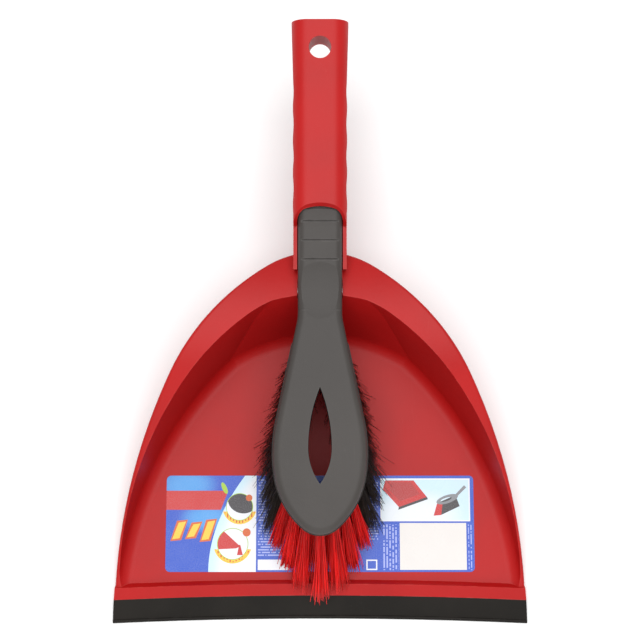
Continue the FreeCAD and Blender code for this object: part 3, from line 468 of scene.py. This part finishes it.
def tubes(name, roots, middles, tips, radii, steps=7, sides=3):
    """Tubes along quadratic curves. A point at t is (1-t)^2 root + 2t(1-t) middle + t^2 tip,
    and round it stands a ring of sides points, square to the curve. The tubes' ends are
    closed, and each tube carries a random tint and how far along it a point is."""
    t = np.linspace(0, 1, steps + 1)[None, :, None]
    a, b, c = (p[:, None, :] for p in (roots, middles, tips))
    line = (1 - t) ** 2 * a + 2 * t * (1 - t) * b + t ** 2 * c
    way = unit(2 * (1 - t) * (b - a) + 2 * t * (c - b))
    across = unit(np.cross(way, (0.31, 0.95, 0.05)))
    other = np.cross(way, across)
    turn = np.arange(sides) * 2 * np.pi / sides
    ring = (across[:, :, None, :] * np.cos(turn)[:, None]
            + other[:, :, None, :] * np.sin(turn)[:, None])
    taper = (1 - 0.25 * t ** 4)[..., None]
    points = line[:, :, None, :] + ring * radii[:, None, None, None] * taper
    count = len(roots)
    number = np.arange(count * (steps + 1) * sides).reshape(count, steps + 1, sides)
    low, high = number[:, :-1], number[:, 1:]
    quads = np.stack([low, np.roll(low, -1, 2), np.roll(high, -1, 2), high], -1).reshape(-1, 4)
    caps = np.concatenate([number[:, 0, ::-1], number[:, -1, :]])
    corners = np.concatenate([quads.ravel(), caps.ravel()]).astype(np.int32)
    sizes = np.concatenate([np.full(len(quads), 4), np.full(len(caps), sides)])
    mesh = bpy.data.meshes.new(name)
    mesh.vertices.add(number.size)
    mesh.vertices.foreach_set("co", points.reshape(-1).astype(np.float32))
    mesh.loops.add(len(corners))
    mesh.loops.foreach_set("vertex_index", corners)
    mesh.polygons.add(len(sizes))
    starts = np.concatenate([[0], np.cumsum(sizes)[:-1]])
    mesh.polygons.foreach_set("loop_start", starts.astype(np.int32))
    mesh.update(calc_edges=True)
    mesh.validate()
    spread = np.random.default_rng(len(name)).random(count)
    for label, values in (("tint", np.repeat(spread, (steps + 1) * sides)),
                          ("along", np.tile(np.repeat(t.ravel(), sides), count))):
        mesh.attributes.new(label, "FLOAT", "POINT").data.foreach_set(
            "value", values.astype(np.float32))
    mesh.shade_smooth()
    piece = bpy.data.objects.new(name, mesh)
    scene.collection.objects.link(piece)
    return piece


print("tubes ready")

# %% [markdown]
# ## Bundles
#
# The filaments of a bundle start spread over the hole, lean the way that the CAD tuft leans and
# part towards their tips. The spread, the length and the lean are drawn at random, with a fixed
# seed, so that the brush comes out the same every time.
# %% Bundles
HOLE_R = 1.85                 # mm, of the round that the roots fill
LOWEST = 6.3 * MM             # no tip hangs below this


def bristles(name, nodes, count, radius, flare, swing, sweep, seed, stray=0.04):
    """Every filament of the named tufts, as one piece: count of them to a tuft. flare is how
    much further out the tips stand than the roots, swing how far each turns at random from
    its tuft's direction, and stray the share that leaves the bundle. sweep carries the tips
    forwards, in metres at the nose and nothing from the middle of the head back."""
    rng = np.random.default_rng(seed)
    low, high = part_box("brush_block")
    bottom, middle = low[2], (low[1] + high[1]) / 2
    roots, middles, tips = [], [], []
    for node in nodes:
        root, tip = tufts[node]
        way = unit(tip - root)
        start = root + way * (root[2] - bottom) * 0.5 / -way[2]
        side = unit(np.cross(way, (1, 0.2, 0)))
        over = np.cross(way, side)
        spot = np.sqrt(rng.random(count)) * HOLE_R * MM
        angle = rng.random(count) * 2 * np.pi
        disc = side * np.cos(angle)[:, None] + over * np.sin(angle)[:, None]
        near = start + disc * spot[:, None]
        wide = flare * (0.55 + 0.45 * rng.random(count)) / HOLE_R
        wide = np.where(rng.random(count) < stray, wide * 2.4, wide)
        length = np.linalg.norm(tip - start) * (1 - 0.07 * rng.random(count) ** 2)
        turned = rng.normal(0, swing, (count, 3)) * [1, 1, 0.2]
        far = start + (way + turned) * length[:, None] + disc * (spot * wide)[:, None]
        share = np.clip((middle - root[1]) / (middle - low[1]), 0, 1)
        far[:, 1] -= sweep * share * rng.uniform(0.6, 1.0, count)
        bow = rng.normal(0, 0.7 * MM, (count, 3)) - unit(way * [1, 1, 0]) * 0.8 * MM
        roots.append(near)
        middles.append(near + (far - near) * 0.45 + bow - disc * 0.5 * MM)
        tips.append(far)
    roots, middles, tips = (np.concatenate(p) for p in (roots, middles, tips))
    tips[:, 2] = np.maximum(tips[:, 2], LOWEST)
    radii = radius * rng.uniform(0.85, 1.15, len(roots))
    piece = tubes(name, roots, middles, tips, radii)
    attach(piece, "brush")
    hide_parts(*nodes)
    return piece


print("bundles start", 2 * HOLE_R, "mm wide and stay above", LOWEST, "m")

# %% [markdown]
# ## Finish of the filaments
#
# Filament is extruded plastic. Towards the root, deep in the bundle, painted shade darkens it,
# and its cut tip is paler. Two attributes of the mesh, tint and along, carry what the shader
# needs for that.
# %% Filament finish
def filament_finish(name, root, tip, gloss):
    """Extruded filament: painted shade at its root, deep in the bundle; paler where its tip is cut
    and frayed.
    """
    material, tree, shader, place = finish(name)
    tint = add(tree, "ShaderNodeAttribute", attribute_name="tint").outputs["Fac"]
    along = add(tree, "ShaderNodeAttribute", attribute_name="along").outputs["Fac"]
    # Painted shade: the colour runs from the darkened root colour deep in the bundle to the paler
    # cut tip.
    body = blend(tree, span(tree, along, 0.0, 1.0), root + (1,), tip + (1,))
    shade = calc(tree, "ADD", 0.55, calc(tree, "MULTIPLY", tint, 0.9))
    body = add(tree, "ShaderNodeVectorMath", {0: body, "Scale": shade}, operation="SCALE")
    tree.links.new(body.outputs["Vector"], shader.inputs["Base Color"])
    streak = noise(tree, place, 0.0012, 2.0)
    tree.links.new(span(tree, streak, 0.2, 0.8, gloss - 0.08, gloss + 0.1),
                   shader.inputs["Roughness"])
    shader.inputs["Specular IOR Level"].default_value = 0.22
    return material


# The first colour of each is the root's, darkened as painted shade.
red_filament = filament_finish("red_filament", (0.50, 0.004, 0.004), (0.80, 0.012, 0.011), 0.45)
black_filament = filament_finish("black_filament", (0.006, 0.005, 0.004), (0.030, 0.020, 0.015),
                                 0.42)
print(red_filament.name, black_filament.name)

# %% Make the bristles
red_nodes = [n for n in tufts if n.startswith("red")]
left_nodes = [n for n in tufts if n.startswith("black") and tufts[n][0][0] < 0]
right_nodes = [n for n in tufts if n.startswith("black") and tufts[n][0][0] >= 0]
for name, nodes, count, radius, flare, swing, sweep, seed, material in (
        ("red_bristles", red_nodes, 210, 0.22, 3.2, 0.035, 0.0, 3, red_filament),
        ("left_bristles", left_nodes, 230, 0.14, 4.6, 0.07, 9.0, 5, black_filament),
        ("right_bristles", right_nodes, 230, 0.14, 4.6, 0.07, 9.0, 8, black_filament)):
    piece = bristles(name, nodes, count, radius * MM, flare, swing, sweep * MM, seed)
    set_finish(piece, material)
    print(name, len(nodes), "tufts,", len(piece.data.polygons), "faces")

# %% [markdown]
# ## Floor
#
# A white sheet, far larger than the set, stands in for a studio table. It is plain, so
# that nothing draws the eye from the object, and it has only the faintest unevenness.
# %% Floor sheet
floor_mesh = bpy.data.meshes.new("floor")
half = 3.0
floor_mesh.from_pydata([(-half, -half, 0), (half, -half, 0), (half, half, 0), (-half, half, 0)],
                       [], [(0, 1, 2, 3)])
floor = bpy.data.objects.new("floor", floor_mesh)
scene.collection.objects.link(floor)
floor_paint, tree, shader, place = finish("floor_paint")
tree.links.new(blend(tree, noise(tree, place, 0.3), (0.90, 0.90, 0.90, 1), (0.93, 0.93, 0.93, 1)),
               shader.inputs["Base Color"])
shader.inputs["Roughness"].default_value = 0.9
shader.inputs["Specular IOR Level"].default_value = 0.1
floor.data.materials.append(floor_paint)
print("floor", 2 * half, "m wide")
